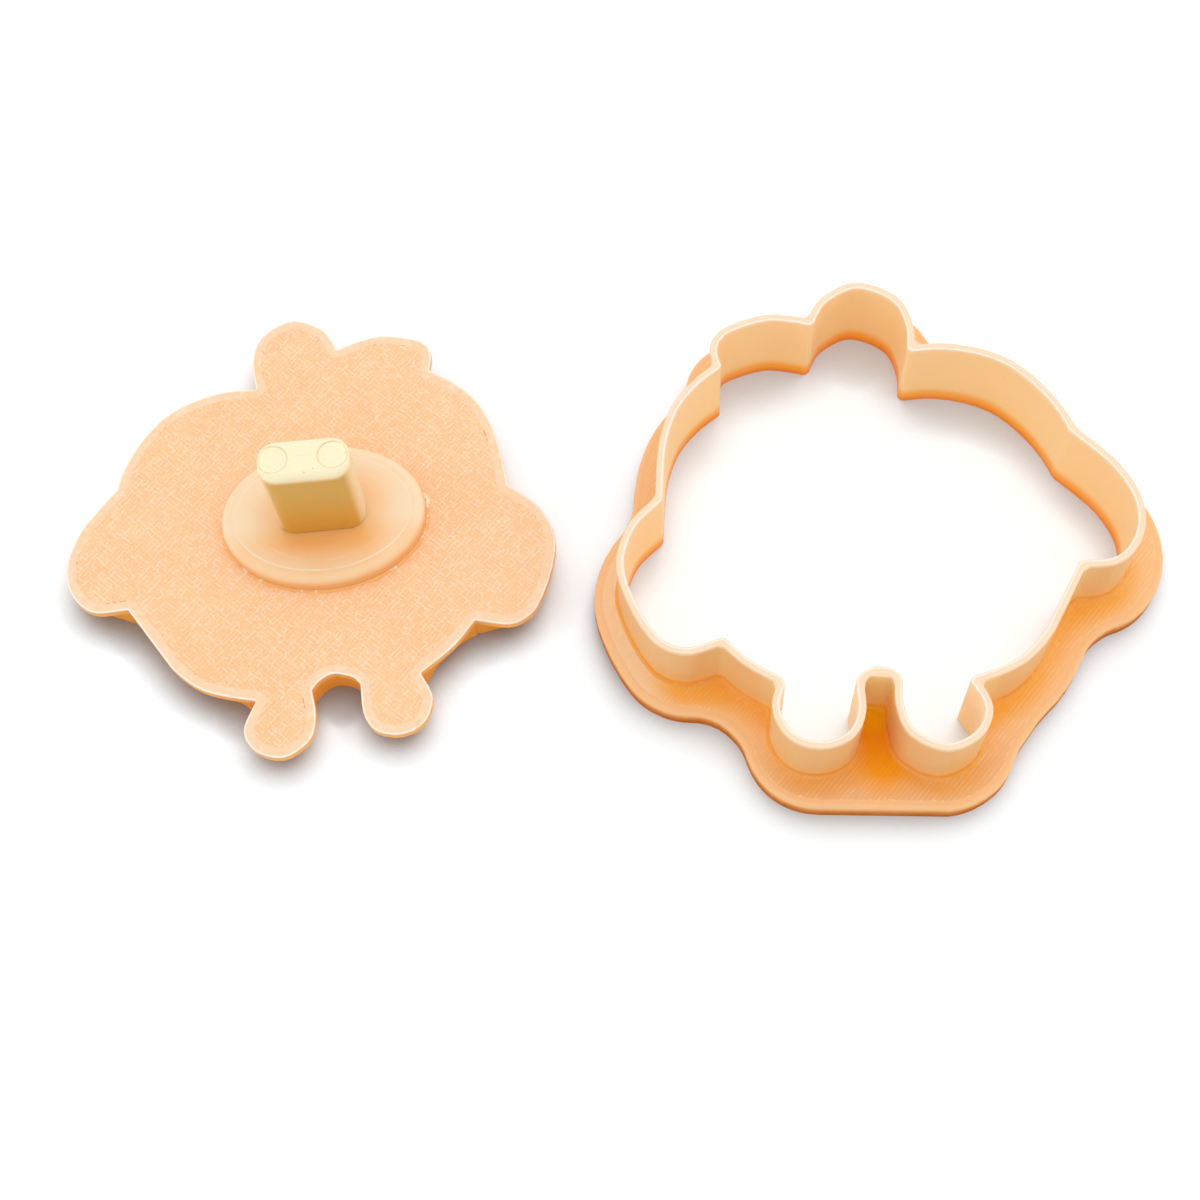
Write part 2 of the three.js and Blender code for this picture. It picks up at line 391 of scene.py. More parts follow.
def makeCamera(spec):
    bpy.ops.object.select_all(action="DESELECT")
    bpy.ops.object.camera_add(location=spec["place"])
    camera = bpy.context.object
    tilt = Matrix.Rotation(math.radians(spec["tilt"]), 3, "X")
    roll = Matrix.Rotation(math.radians(spec["roll"]), 3, "Z")
    camera.rotation_euler = (tilt @ roll).to_euler()
    camera.data.sensor_width = spec["sensor"]
    camera.data.lens = spec["lens"]
    camera.data.clip_start = spec["clipStart"]
    bpy.context.scene.camera = camera


def makePaper(spec):
    bpy.ops.mesh.primitive_plane_add(size=spec["floorSize"], location=(0, 0, -spec["floorDrop"]))
    floor = bpy.context.object
    floor.name = "paper"
    paper = Finish("paper", Roughness=1.0, Specular_IOR_Level=0.0, Emission_Strength=spec["floorLift"])
    x, y, _ = paper.parts(paper.place())
    byCutter = x.step(*spec["cutterSide"])
    reach = spec["shadeReach"] + spec["farReach"] * byCutter * y.step(*spec["farSide"])
    toward = paper.add("ShaderNodeCombineXYZ", sockets=dict(enumerate(spec["shadeToward"])))
    clear = paper.add(
        "ShaderNodeAmbientOcclusion",
        {"samples": spec["shadeSamples"]},
        {"Distance": reach, "Normal": toward},
        output="AO",
    )
    # seen by the camera alone, and not in the light that the paper sends back
    seen = paper.seenByCamera()
    shade = seen * (1 - spec["cutterShade"] * byCutter) * (1 - clear.step(*spec["shadeFade"]))
    color = paper.mix(seen, spec["floorColor"], spec["floorSeen"])
    paper.set("Base Color", paper.mix(shade, color, spec["floorShade"]))
    paper.set("Emission Color", paper.mix(seen * (1 - shade), black, white))
    floor.data.materials.append(paper.material)


def makeLight(spec):
    world = bpy.data.worlds.new("sky")
    world.use_nodes = True
    bpy.context.scene.world = world
    sky = Nodes(world.node_tree)
    light = sky.tree.nodes["Background"]
    sky.feed(light.inputs["Color"], white)
    sky.feed(light.inputs["Strength"], spec["skyStrength"])
    paper = sky.add("ShaderNodeBackground", sockets={"Color": white})
    choice = sky.add(
        "ShaderNodeMixShader", sockets={0: sky.seenByCamera(), 1: Flow(sky, light.outputs[0]), 2: paper}
    )
    sky.feed(sky.tree.nodes["World Output"].inputs["Surface"], choice)
    for place, width, height, power in spec["softboxes"]:
        bpy.ops.object.light_add(type="AREA", location=place)
        softbox = bpy.context.object
        softbox.data.shape = "RECTANGLE"
        softbox.data.size, softbox.data.size_y = width, height
        softbox.data.energy = power
        softbox.rotation_euler = Vector(place).to_track_quat("Z", "Y").to_euler()
    bpy.context.scene.cycles.diffuse_bounces = spec["bounces"]


makeCamera(photoView)
makePaper(studio)
makeLight(studio)
bpy.context.scene.view_settings.view_transform = "Standard"


print("scene: printed plastic of the cutter")

cutterPrint = {
    "lineWidth": 0.45 * mm,
    "layer": 0.2 * mm,
    "topHeight": 11.8 * mm,
    "flangeHeight": 2.6 * mm,
    "wallThickness": 0.9 * mm,
    "rimRound": 0.12 * mm,
    "rimSteps": 3,
    "rimInset": 0.1 * mm,
    "rimGroove": 0.03 * mm,
    "smoothAngle": 52,
    "byRim": 0.5 * mm,  # low lines closer than this to the rim, in plan, go round the opening
    "byWall": 1.6 * mm,  # faces with a corner closer than this to the opening belong to the wall
    # cuts that carry the shading values
    "gridStep": 0.8 * mm,
    "rimStep": 0.3 * mm,
    "gapRim": ((25.0 * mm, 31.5 * mm), (-27.0 * mm, -19.0 * mm)),  # the rim's bend by the gap, in x and y
    # how far the wall counts that shelters or shades a spot, and how much of it is none and full
    "shelterReach": 5.0 * mm,
    "shelterFade": (0.98, 1.43),
    "shadeReach": 6.0 * mm,
    "shadeFade": (0.2, 0.47),
    "gapLine": ((28.0 * mm, -24.0 * mm), (28.6 * mm, -29.4 * mm)),  # down the middle between the feet
    "gapFade": (4.8 * mm, 1.6 * mm),
    "openLeft": (1.5 * mm, 6.0 * mm),  # along x: left of it the flange lies open to the light
    # flange
    "hatchPitch": 0.47 * mm,
    "hatchTurn": 45,
    "hatchRidge": (0.45, 0.95),
    "hatchPatches": (1.4 * mm, 3.0, 0.42, 0.66),
    "hatchStretch": (0.7, 1.1, 1),
    "hatchDepth": 0.03 * mm,
    "frontShade": (-24 * mm, -32 * mm),  # along y, where the flange takes painted shade towards the front
    "frontShadeShare": 0.42,
    "leftLightShare": 0.6,
    "borderEnd": 1.05 * mm,  # from the edge
    "borderSoft": 0.06 * mm,
    "lip": (0.4 * mm, 0.1 * mm),
    "turnReach": (0.2 * mm, 0.04 * mm),
    "turnSpecks": (0.4 * mm, 0.0, 0.60, 0.72),
    "flangeDust": (0.42 * mm, 0.0, 0.79, 0.84),
    "flangeColor": tone(255, 203, 144),
    "flangeLine": tone(255, 222, 184),
    "flangeWallShade": tone(255, 182, 78),
    "flangeMouthGlow": tone(255, 166, 8),
    "flangeGapGlow": tone(255, 214, 0),
    "flangeFrontShade": tone(222, 156, 106),
    "borderColor": tone(253, 199, 144),
    # edge and underside; bands are heights
    "edgeBand": (2.45 * mm, 1.5 * mm),
    "edgeFootBand": (1.9 * mm, 0.5 * mm),
    "edgeMottle": (2.2 * mm, 2.0, 0.35, 0.65),
    "edgeDepth": 0.008 * mm,
    "edgeLowShade": tone(234, 154, 70),
    "edgeFootShade": tone(190, 100, 12),
    "underRidge": (0.7, 1.0),
    "underPatches": (6 * mm, 2.0, 0.35, 0.65),
    "underDepth": 0.015 * mm,
    # wall
    "insideReach": (0.5 * mm, 0.2 * mm),  # from the opening
    "footBand": (5.2 * mm, 2.8 * mm),
    "rootBand": (3.8 * mm, 2.95 * mm),
    "insideBand": (9 * mm, 0.5 * mm),
    "glowSide": (-22 * mm, -18 * mm),  # along y: light comes through the flange, but not in the feet
    "glowBand": (3.1 * mm, 1.1 * mm),
    "glowFoot": (1.2 * mm, 0.1 * mm),
    "lipBand": (11.0 * mm, 11.7 * mm),
    "wallMottle": (5 * mm, 2.0, 0.3, 0.7),
    "wallStretch": (1, 1, 0.4),
    "wallDust": (0.42 * mm, 0.0, 0.80, 0.85),
    "wallDepth": 0.006 * mm,
    "wallColor": tone(255, 214, 152),
    "wallOuterShade": tone(238, 183, 118),
    "wallFootShade": tone(252, 190, 108),
    "wallRootShade": tone(250, 172, 74),
    "wallGapGlow": tone(255, 240, 166),
    "wallInside": tone(255, 216, 150),
    "wallInFeetLight": tone(255, 232, 192),
    "wallGlowAndDust": tone(255, 170, 40),
    "wallDeepGlow": tone(242, 134, 0),
    # rim; lines and edge as shares of the wall's thickness, from the opening
    "rimWander": (3.0 * mm, 1.0, 0.16),
    "brightLine": (0.2, 0.14, 0.03),
    "seamLine": (0.52, 0.10, 0.02),
    "rimOuter": (0.78, 1.0),
    "rimStreaks": (1.6 * mm, 3.0, 0.4, 0.7),
    "rimDepth": 0.02 * mm,
    "rimColor": tone(255, 226, 198),
    "rimLine": tone(255, 246, 233),
    "rimSeam": tone(253, 213, 172),
}

plastic = {
    "Roughness": 0.42,
    "Specular_IOR_Level": 0.22,
    "Subsurface_Weight": 0.15,
    "Subsurface_Radius": (1.0, 0.7, 0.4),
    "Subsurface_Scale": 0.8 * mm,
}
flangePlastic = {**plastic, "Specular_IOR_Level": 0.1, "Roughness": 0.5}
edgePlastic = {**plastic, "Specular_IOR_Level": 0.06, "Roughness": 0.6}


def layerLines(z, spacing):
    return (z * (fullTurn / spacing)).sine()


def flangeFinish(spec):
    finish = Finish("flangeLines", **flangePlastic)
    across = finish.parts(finish.turned(spec["hatchPitch"], -spec["hatchTurn"]))[1]
    ridge = across.fromMiddle() * 2
    tint = finish.chance(across.whole())
    patches = finish.blots(*spec["hatchPatches"], stretch=spec["hatchStretch"])
    lines = ridge.step(*spec["hatchRidge"]) * (0.25 + 0.75 * patches) * (0.3 + 0.7 * tint)
    x, y, _ = finish.parts(finish.place())
    openFull, openNone = spec["openLeft"]
    near, inGap, sheltered = [finish.value(name) for name in ("shaded", "inGap", "sheltered")]
    ground = finish.layered(
        spec["flangeColor"],
        # painted shade: deeper orange where wall stands behind the spot
        (near, spec["flangeWallShade"]),
        # painted shade: browner towards the front
        (y.step(*spec["frontShade"]) * spec["frontShadeShare"], spec["flangeFrontShade"]),
        # painted light: paler where the flange lies open on the left
        (x.step(openNone, openFull) * spec["leftLightShare"], spec["flangeLine"]),
        # painted glow at the mouth of the gap between the feet
        (inGap, spec["flangeMouthGlow"]),
        # painted glow of light bounced between close walls
        (sheltered, spec["flangeGapGlow"]),
    )
    # two plain lines run round the edge, with specks where the hatch turns back
    fromEdge = finish.value("fromEdge")
    end, soft = spec["borderEnd"], spec["borderSoft"]
    border = fromEdge.step(end + soft, end - soft)
    specks = abs(fromEdge - end).step(*spec["turnReach"]) * finish.blots(*spec["turnSpecks"])
    color = finish.layered(
        ground,
        (lines * (0.7 - 0.35 * near) * (1 - 0.8 * (inGap | sheltered)), spec["flangeLine"]),
        (border * 0.75 * (1 - near * 0.5), spec["borderColor"]),
        # painted highlight: the outer lip of the flange paler
        (fromEdge.step(*spec["lip"]) * 0.5, spec["flangeLine"]),
        (specks * 0.45, spec["flangeLine"]),
        (finish.blots(*spec["flangeDust"]) * 0.35, spec["wallGlowAndDust"]),
    )
    finish.set("Base Color", color)
    beads = (fromEdge * (fullTurn / spec["lineWidth"])).cosine()
    height = (1 - border) * (ridge * 0.5 + lines * 0.5) - border * beads * 0.3 + specks * 0.4
    finish.set("Normal", finish.bump(height, spec["hatchDepth"], 0.5))
    return finish


def edgeFinish(spec):
    finish = Finish("flangeEdge", **edgePlastic)
    z = finish.parts(finish.place())[2]
    color = finish.layered(
        spec["borderColor"],
        # painted shade: the edge darker and more orange towards the table
        (z.step(*spec["edgeBand"]), spec["edgeLowShade"]),
        (z.step(*spec["edgeFootBand"]), spec["edgeFootShade"]),
        (finish.blots(*spec["edgeMottle"]) * 0.06, spec["flangeLine"]),
    )
    finish.set("Base Color", color)
    finish.set("Normal", finish.bump(layerLines(z, spec["layer"]), spec["edgeDepth"], 0.4))
    return finish


def underFinish(spec):
    finish = Finish("flangeUnderside", **plastic)
    across = finish.parts(finish.turned(spec["lineWidth"], spec["hatchTurn"]))[1]
    ridge = across.fromMiddle() * 2
    color = finish.layered(
        spec["flangeColor"],
        (finish.blots(*spec["underPatches"]) * 0.4, spec["borderColor"]),
        (ridge.step(*spec["underRidge"]) * 0.3, spec["flangeLine"]),
    )
    finish.set("Base Color", color)
    finish.set("Normal", finish.bump(ridge, spec["underDepth"], 0.5))
    return finish


def wallFinish(spec):
    finish = Finish("cutterWall", **plastic)
    _, y, z = finish.parts(finish.place())
    sheltered = finish.value("sheltered")
    # painted shade: the outer face a darker, shaded copy of the wall colour
    outer = finish.layered(
        spec["wallOuterShade"],
        # painted shade: deeper orange towards the wall's foot
        (z.step(*spec["footBand"]), spec["wallFootShade"]),
        # painted glow where walls close in round the spot
        (sheltered, spec["wallGapGlow"]),
        # painted shade at the wall's root, turning to painted glow where walls close in
        (z.step(*spec["rootBand"]), finish.mix(sheltered, spec["wallRootShade"], spec["flangeGapGlow"])),
    )
    glow = y.step(*spec["glowSide"])
    inner = finish.layered(
        spec["wallColor"],
        (z.step(*spec["insideBand"]), spec["wallInside"]),
        # painted light: paler inside the feet
        ((1 - glow) * 0.7, spec["wallInFeetLight"]),
        # painted glow: deeper orange low on the inside of the wall, from light through the flange
        (z.step(*spec["glowBand"]) * glow, spec["wallGlowAndDust"]),
        (z.step(*spec["glowFoot"]) * glow, spec["wallDeepGlow"]),
    )
    mottled = finish.blots(*spec["wallMottle"], stretch=spec["wallStretch"])
    color = finish.layered(
        outer,
        (finish.value("acrossRim").step(*spec["insideReach"]), inner),
        # painted light: paler towards the rim, with a little random mottling
        (z.step(*spec["lipBand"]) * 0.6 + mottled * 0.08, spec["rimColor"]),
        (finish.blots(*spec["wallDust"]) * 0.25, spec["wallGlowAndDust"]),
    )
    finish.set("Base Color", color)
    finish.set("Normal", finish.bump(layerLines(z, spec["layer"]), spec["wallDepth"], 0.4))
    return finish


def rimFinish(spec):
    finish = Finish("cuttingRim", **plastic)
    across = finish.value("acrossRim") / spec["wallThickness"]
    size, detail, width = spec["rimWander"]
    wander = (finish.noise(size, detail) - 0.5) * width
    bright, seam = [
        abs(across - place + wander).step(none, full)
        for place, none, full in (spec["brightLine"], spec["seamLine"])
    ]
    streak = finish.blots(*spec["rimStreaks"])
    color = finish.layered(
        spec["rimColor"],
        (streak * 0.15 + across.step(*spec["rimOuter"]) * 0.7, spec["rimSeam"]),
        (seam * 0.55, spec["rimSeam"]),
        (bright * 0.85, spec["rimLine"]),
    )
    finish.set("Base Color", color)
    finish.set("Normal", finish.bump(streak * 0.5 - seam * 0.5, spec["rimDepth"], 0.3))
    return finish


# how much wall stands close by in plan, where a straight wall right beside the spot gives 1;
# with behind, wall on the far side of the spot counts and wall on its near side doesn't
def wallAround(places, segments, reach, behind=False, spacing=0.1 * mm):
    spots = []
    for start, end in segments:
        run = end[:2] - start[:2]
        length = np.linalg.norm(run)
        count = max(2, int(length / spacing))
        for share in (np.arange(count) + 0.5) / count:
            spots.append((*(start[:2] + share * run), length / count))
    spots = np.array(spots)
    found = np.zeros(len(places))
    for number, place in enumerate(places):
        dx, dy = spots[:, 0] - place[0], spots[:, 1] - place[1]
        away = np.maximum(np.hypot(dx, dy), 1e-9)
        weight = np.clip(1 - away / reach, 0, 1) * (np.clip(dy / away, 0, 1) if behind else 1)
        found[number] = (spots[:, 2] * weight).sum() / reach
    return found


# the lines on the table round the opening, and those round the flange
def lowLines(piece, spec):
    places = points(piece)
    lines = [(places[edge.vertices[0]], places[edge.vertices[1]]) for edge in piece.data.edges]
    notBelow = {key for face in piece.data.polygons if face.normal.z > -0.5 for key in face.edge_keys}
    rim = [line for line in lines if min(line[0][2], line[1][2]) > spec["topHeight"] - hair]
    low = [
        line for line, edge in zip(lines, piece.data.edges)
        if max(line[0][2], line[1][2]) < hair and edge.key in notBelow
    ]
    middles = np.array([(start + end) / 2 for start, end in low])
    inner = distanceInPlan(middles, rim) < spec["byRim"]
    return [[line for line, found in zip(low, inner) if found == wanted] for wanted in (True, False)]


def makeCutter(spec):
    finishes = [make(spec) for make in (wallFinish, rimFinish, flangeFinish, edgeFinish, underFinish)]
    piece = copyNode("cutter_ring", "cutter_ring_print", finishes)
    _, rim, flange, edge, under = finishes
    top, flangeTop = spec["topHeight"], spec["flangeHeight"]
    # rounded lips on both sides of the cutting rim, then the groove between its two printed lines
    roundTop(piece, top, spec["rimRound"], spec["rimSteps"], clamp=True)
    onRim = facesAbove(top - spec["rimRound"])
    pick(piece, "FACE", onRim)
    dress(piece, rim)
    pick(piece, "FACE", facesUpAt(top))
    bpy.ops.mesh.inset(thickness=spec["rimInset"])
    raiseBy(-spec["rimGroove"])
    # close cuts across the rim's bend between the feet, so that its lines follow it
    cutAcross(piece, onRim, [np.arange(*span, spec["rimStep"]) for span in spec["gapRim"]])
    # a grid over the flange, which carries the shading values
    onFlange = facesUpAt(flangeTop)
    pick(piece, "FACE", onFlange)
    dress(piece, flange)
    low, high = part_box("cutter_ring")
    step = spec["gridStep"]
    cutAcross(piece, onFlange, [np.arange(low[axis] + step, high[axis], step) for axis in (0, 1)])
    endEdit()
    opening, outline = lowLines(piece, spec)
    places = points(piece)
    acrossRim = distanceInPlan(places, opening)
    storeValues(piece, "acrossRim", acrossRim)
    storeValues(piece, "fromEdge", distanceInPlan(places, outline))
    # how closely walls close in round a spot, which sets the painted glow between the feet
    around = wallAround(places, opening, spec["shelterReach"])
    storeValues(piece, "sheltered", fade(around, *spec["shelterFade"]))
    # painted shade on the flange where wall stands behind a spot, none on the open left
    around = wallAround(places, opening, spec["shadeReach"], behind=True)
    storeValues(piece, "shaded", fade(around, *spec["shadeFade"]) * fade(places[:, 0], *spec["openLeft"]))
    # painted glow on the flange along the gap between the feet
    gap = distanceInPlan(places, [np.array(spec["gapLine"])])
    storeValues(piece, "inGap", fade(gap, *spec["gapFade"]))
    # the edge of the flange, then its underside
    inner = set(np.flatnonzero(acrossRim < spec["byWall"]))

    def onEdge(face):
        isLow = min(corner.co.z for corner in face.verts) < flangeTop - 2 * hair
        return isLow and not any(corner.index in inner for corner in face.verts)

    startEdit(piece)
    pick(piece, "FACE", onEdge)
    dress(piece, edge)
    pick(piece, "FACE", lambda face: facesDown(face) and face.calc_center_median().z < hair)
    dress(piece, under)
    endEdit()
    smoothOver(piece, spec["smoothAngle"])
    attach(piece, "cutter")
    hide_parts("cutter_ring")
    print("scene: cutter", len(piece.data.polygons), "faces")


makeCutter(cutterPrint)


print("scene: stamp plate")

platePrint = {
    "lineWidth": 0.45 * mm,
    "layer": 0.2 * mm,
    "topHeight": 3.9 * mm,
    "edgeRound": 0.16 * mm,
    "edgeSteps": 3,
    "lipWidth": 0.06 * mm,
    "seamWidth": 0.12 * mm,
    "seamDepth": 0.02 * mm,
    "smoothAngle": 35,
    # top
    "strokePitch": 0.56 * mm,
    "strokeWobble": (0.8 * mm, 1.0, 0.9),  # size, detail, and how far as a share of the pitch
    "strokeWidth": (0.17, 0.05),  # shares of the pitch and of the length
    "strokeEnds": (0.48, 0.38),
    "strokeShown": (1.0, 0.6),
    # each pair crosses: share of the pitch, length, degrees, share that shows, and seed
    "longStrokes": ((1.0, 2.0, 45, 0.45, 1.0), (1.0, 2.0, -45, 0.45, 2.0)),
    "shortStrokes": ((0.8, 1.1, 40, 0.35, 3.0), (0.8, 1.1, -50, 0.35, 4.0)),
    "hatchTurn": 45,
    "hatchPatches": (1.7 * mm, 1.0, 0.46, 0.54),
    "grain": (0.35 * mm, 2.0, 0.3, 0.7),
    "deepPatches": (11 * mm, 2.0, 0.35, 0.65),
    "strokeDepth": 0.03 * mm,
    "ground": tone(255, 208, 160),
    "groundDeep": tone(254, 194, 140),
    "thread": tone(255, 236, 210),
    # border, lip with its painted highlight, and seam round it
    "borderSpots": (0.7 * mm, 2.0, 0.45, 0.7),
    "borderPatches": (5 * mm, 2.0, 0.45, 0.6),
    "borderDepth": 0.02 * mm,
    "lipHighlightBreaks": (2.5 * mm, 2.0, 0.5, 0.75),
    "lipBand": (0.06 * mm, 0.15 * mm),  # below the top
    "seamOpen": (6 * mm, 1.0, 0.52, 0.60),
    "seamHoles": (0.8 * mm, 1.0, 0.56, 0.66),
    "holeDepth": 0.03 * mm,
    "border": tone(255, 215, 178),
    "edgeHighlight": tone(255, 242, 224),
    "seam": tone(232, 150, 84),
    # side
    "sideBand": (3.0 * mm, 2.6 * mm),
    "sideMottle": (3 * mm, 2.0, 0.35, 0.65),
    "sideDepth": 0.008 * mm,
    "side": tone(250, 176, 92),
    "sideLowShade": tone(236, 156, 44),
}


# pale strokes of one direction: each row starts at its own place, and only a share of them show
def strokes(finish, spec, size, length, degrees, share, seed):
    wobbleSize, detail, reach = spec["strokeWobble"]
    wobble = finish.noise(wobbleSize, detail, output="Color")
    bent = finish.add("ShaderNodeVectorMath", {"operation": "SUBTRACT"}, {0: wobble, 1: (0.5, 0.5, 0.5)})
    bent = finish.add("ShaderNodeVectorMath", {"operation": "SCALE"}, {0: bent, "Scale": reach})
    straight = finish.turned(size * spec["strokePitch"], degrees)
    spot = finish.add("ShaderNodeVectorMath", {"operation": "ADD"}, {0: straight, 1: bent})
    along, across, _ = finish.parts(spot)
    row = across.whole()
    along = along / length + finish.chance(row, seed=seed) * 9
    shown = finish.chance(along.whole(), row, seed + 0.5)
    line = across.fromMiddle().step(*spec["strokeWidth"])
    ends = along.fromMiddle().step(*spec["strokeEnds"])
    return line * ends * (shown / share).step(*spec["strokeShown"])


def plateTopFinish(spec):
    finish = Finish("plateThreads", **plastic)
    long, short = [
        strokes(finish, spec, *first) | strokes(finish, spec, *second)
        for first, second in (spec["longStrokes"], spec["shortStrokes"])
    ]
    u, v, _ = finish.parts(finish.turned(spec["lineWidth"], spec["hatchTurn"]))
    patch = finish.blots(*spec["hatchPatches"])
    hatch = patch * (u * fullTurn).sine() + (1 - patch) * (v * fullTurn).sine()
    deep, grain = finish.blots(*spec["deepPatches"]), finish.blots(*spec["grain"])
    shine = long * 0.58 | short * 0.45
    color = finish.layered(
        spec["ground"],
        (deep * 0.3 + hatch * 0.25 + grain * 0.35, spec["groundDeep"]),
        (shine, spec["thread"]),
    )
    finish.set("Base Color", color)
    finish.set("Normal", finish.bump(shine + hatch * 0.15, spec["strokeDepth"], 0.5))
    return finish


def plateBorderFinish(spec):
    finish = Finish("plateBorder", **plastic)
    spots = finish.blots(*spec["borderSpots"])
    color = finish.layered(
        spec["border"],
        (finish.blots(*spec["borderPatches"]) * 0.45, spec["ground"]),
        (spots * 0.4, spec["thread"]),
    )
    finish.set("Base Color", color)
    finish.set("Normal", finish.bump(spots, spec["borderDepth"], 0.4))
    return finish


def plateLipFinish(spec):
    finish = Finish("plateLip", **plastic)
    z = finish.parts(finish.place())[2]
    highlightBreaks = finish.blots(*spec["lipHighlightBreaks"])
    none, full = [spec["topHeight"] - below for below in spec["lipBand"]]
    # painted highlight on the rounded edge, broken in places, fading into the side colour below
    color = finish.layered(
        spec["edgeHighlight"],
        (highlightBreaks * 0.5, spec["border"]),
        (z.step(none, full) * 0.7, spec["side"]),
    )
    finish.set("Base Color", color)
    finish.set("Normal", finish.bump(highlightBreaks, spec["borderDepth"], 0.3))
    return finish


def plateSeamFinish(spec):
    finish = Finish("plateSeam", **plastic)
    gaping = finish.blots(*spec["seamOpen"])
    holes = finish.blots(*spec["seamHoles"])
    finish.set("Base Color", finish.mix(holes * (0.25 + 0.65 * gaping), spec["border"], spec["seam"]))
    finish.set("Normal", finish.bump(holes * -1.0, spec["holeDepth"], 0.4))
    return finish


def plateSideFinish(spec):
    finish = Finish("plateSide", **plastic)
    z = finish.parts(finish.place())[2]
    color = finish.layered(
        spec["side"],
        # painted shade: deeper amber low down, on the relief under the plate
        (z.step(*spec["sideBand"]), spec["sideLowShade"]),
        (finish.blots(*spec["sideMottle"]) * 0.08, spec["ground"]),
    )
    finish.set("Base Color", color)
    finish.set("Normal", finish.bump(layerLines(z, spec["layer"]), spec["sideDepth"], 0.4))
    return finish


def makePlate(spec):
    finishes = [
        make(spec)
        for make in (plateSideFinish, plateTopFinish, plateBorderFinish, plateSeamFinish, plateLipFinish)
    ]
    piece = copyNode("stamp_plate", "stamp_plate_print", finishes)
    _, threads, border, seam, lip = finishes
    top = spec["topHeight"]
    roundTop(piece, top, spec["edgeRound"], spec["edgeSteps"], clamp=True)
    pick(piece, "FACE", facesAbove(top - spec["edgeRound"]))
    dress(piece, lip)
    # two printed lines run round the edge, with a fine seam inside them
    pick(piece, "FACE", facesUpAt(top))
    bpy.ops.mesh.inset(thickness=spec["lipWidth"])
    dress(piece, border)
    bpy.ops.mesh.inset(thickness=2 * spec["lineWidth"])
    dress(piece, seam)
    for height in (-spec["seamDepth"], spec["seamDepth"]):
        bpy.ops.mesh.inset(thickness=spec["seamWidth"] / 2)
        raiseBy(height)
    dress(piece, threads)
    pick(piece, "FACE", facesDown)
    dress(piece, threads)
    endEdit()
    smoothOver(piece, spec["smoothAngle"])
    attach(piece, "stamp")
    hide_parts("stamp_plate")
    print("scene: plate", len(piece.data.polygons), "faces")


makePlate(platePrint)


print("scene: handle")

baseLow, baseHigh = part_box("handle_base")
gripLow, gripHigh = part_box("handle_grip")
handleMiddle = (baseLow + baseHigh) / 2
baseSize, gripSize = baseHigh - baseLow, gripHigh - gripLow

basePiece = {
    "sides": 128,
    "edgeRound": 0.95 * mm,
    "edgeSteps": 8,
    "rimWidth": 0.5 * mm,
    "grooveWidth": 0.12 * mm,
    "grooveDepth": 0.04 * mm,
    "dish": 0.06 * mm,
    "dishWidth": 3.2 * mm,
    "socketInset": 0.7 * mm,
    "socketDepth": 1.5 * mm,
    "smoothAngle": 40,
    "footCorner": 1.5 * mm,
    "footReach": 4.6 * mm,  # the shade of the grip goes so far
    "frontShade": (-0.05, -0.5),  # painted shade towards the front, as a share of half the width
    "edgeBand": (0.1 * mm, 1.4 * mm),  # below the top
    "clouds": (4 * mm, 2.0, 0.35, 0.65),
    "swirl": (0.66, 0.008, 0.002),  # from the middle to the edge: place, and where it fades
    "swirlWander": (6 * mm, 1.0, 0.05),
    "swirlBreaks": (3 * mm, 1.0, 0.52, 0.6),
    "rings": 70,  # fine rings round the middle: radians from there to the edge
    "ringDepth": 0.004 * mm,
    "grooveBreaks": (3.5 * mm, 2.0, 0.35, 0.6),
    "color": tone(255, 225, 190),
    "deep": tone(255, 182, 100),
    "edge": tone(255, 182, 116),
    "line": tone(255, 232, 204),
}

gripPiece = {
    "corner": 2.2 * mm,
    "cornerSteps": 10,
    "edgeRound": 0.9 * mm,
    "edgeSteps": 6,
    "tenonInset": 1.0 * mm,
    "tenonDepth": 1.14 * mm,
    "markWidth": 3.4 * mm,
    "markApart": 6.8 * mm,
    "markDepth": 0.1 * mm,
    "markSides": 64,
    "smoothAngle": 40,
    "sideBand": (0.7 * mm, 1.9 * mm),  # below the top
    "endBand": (4.2 * mm, 5.3 * mm),  # along x, from the middle
    "shadedSideBand": (17 * mm, 7 * mm),  # heights over which the painted shade on the sides deepens
    "ringFade": (0.14 * mm, 0.03 * mm),
    "dashPlace": 0.2 * mm,
    "dashWidth": (0.16 * mm, 0.04 * mm),
    "dashLength": (1.3 * mm, 0.9 * mm),
    "specks": (0.35 * mm, 0.0, 0.80, 0.84),
    "grain": (0.6 * mm, 2.0),
    "grainDepth": 0.01 * mm,
    "color": tone(254, 241, 206),
    "shadedSide": tone(212, 173, 88),
    "shadedSideLow": tone(217, 159, 58),
    "markLine": tone(226, 208, 150),
    "speck": tone(214, 170, 100),
}

smoothPlastic = {
    "Roughness": 0.34,
    "Specular_IOR_Level": 0.45,
    "Subsurface_Weight": 0.4,
    "Subsurface_Radius": (1.0, 0.6, 0.25),
    "Subsurface_Scale": 2.0 * mm,
}


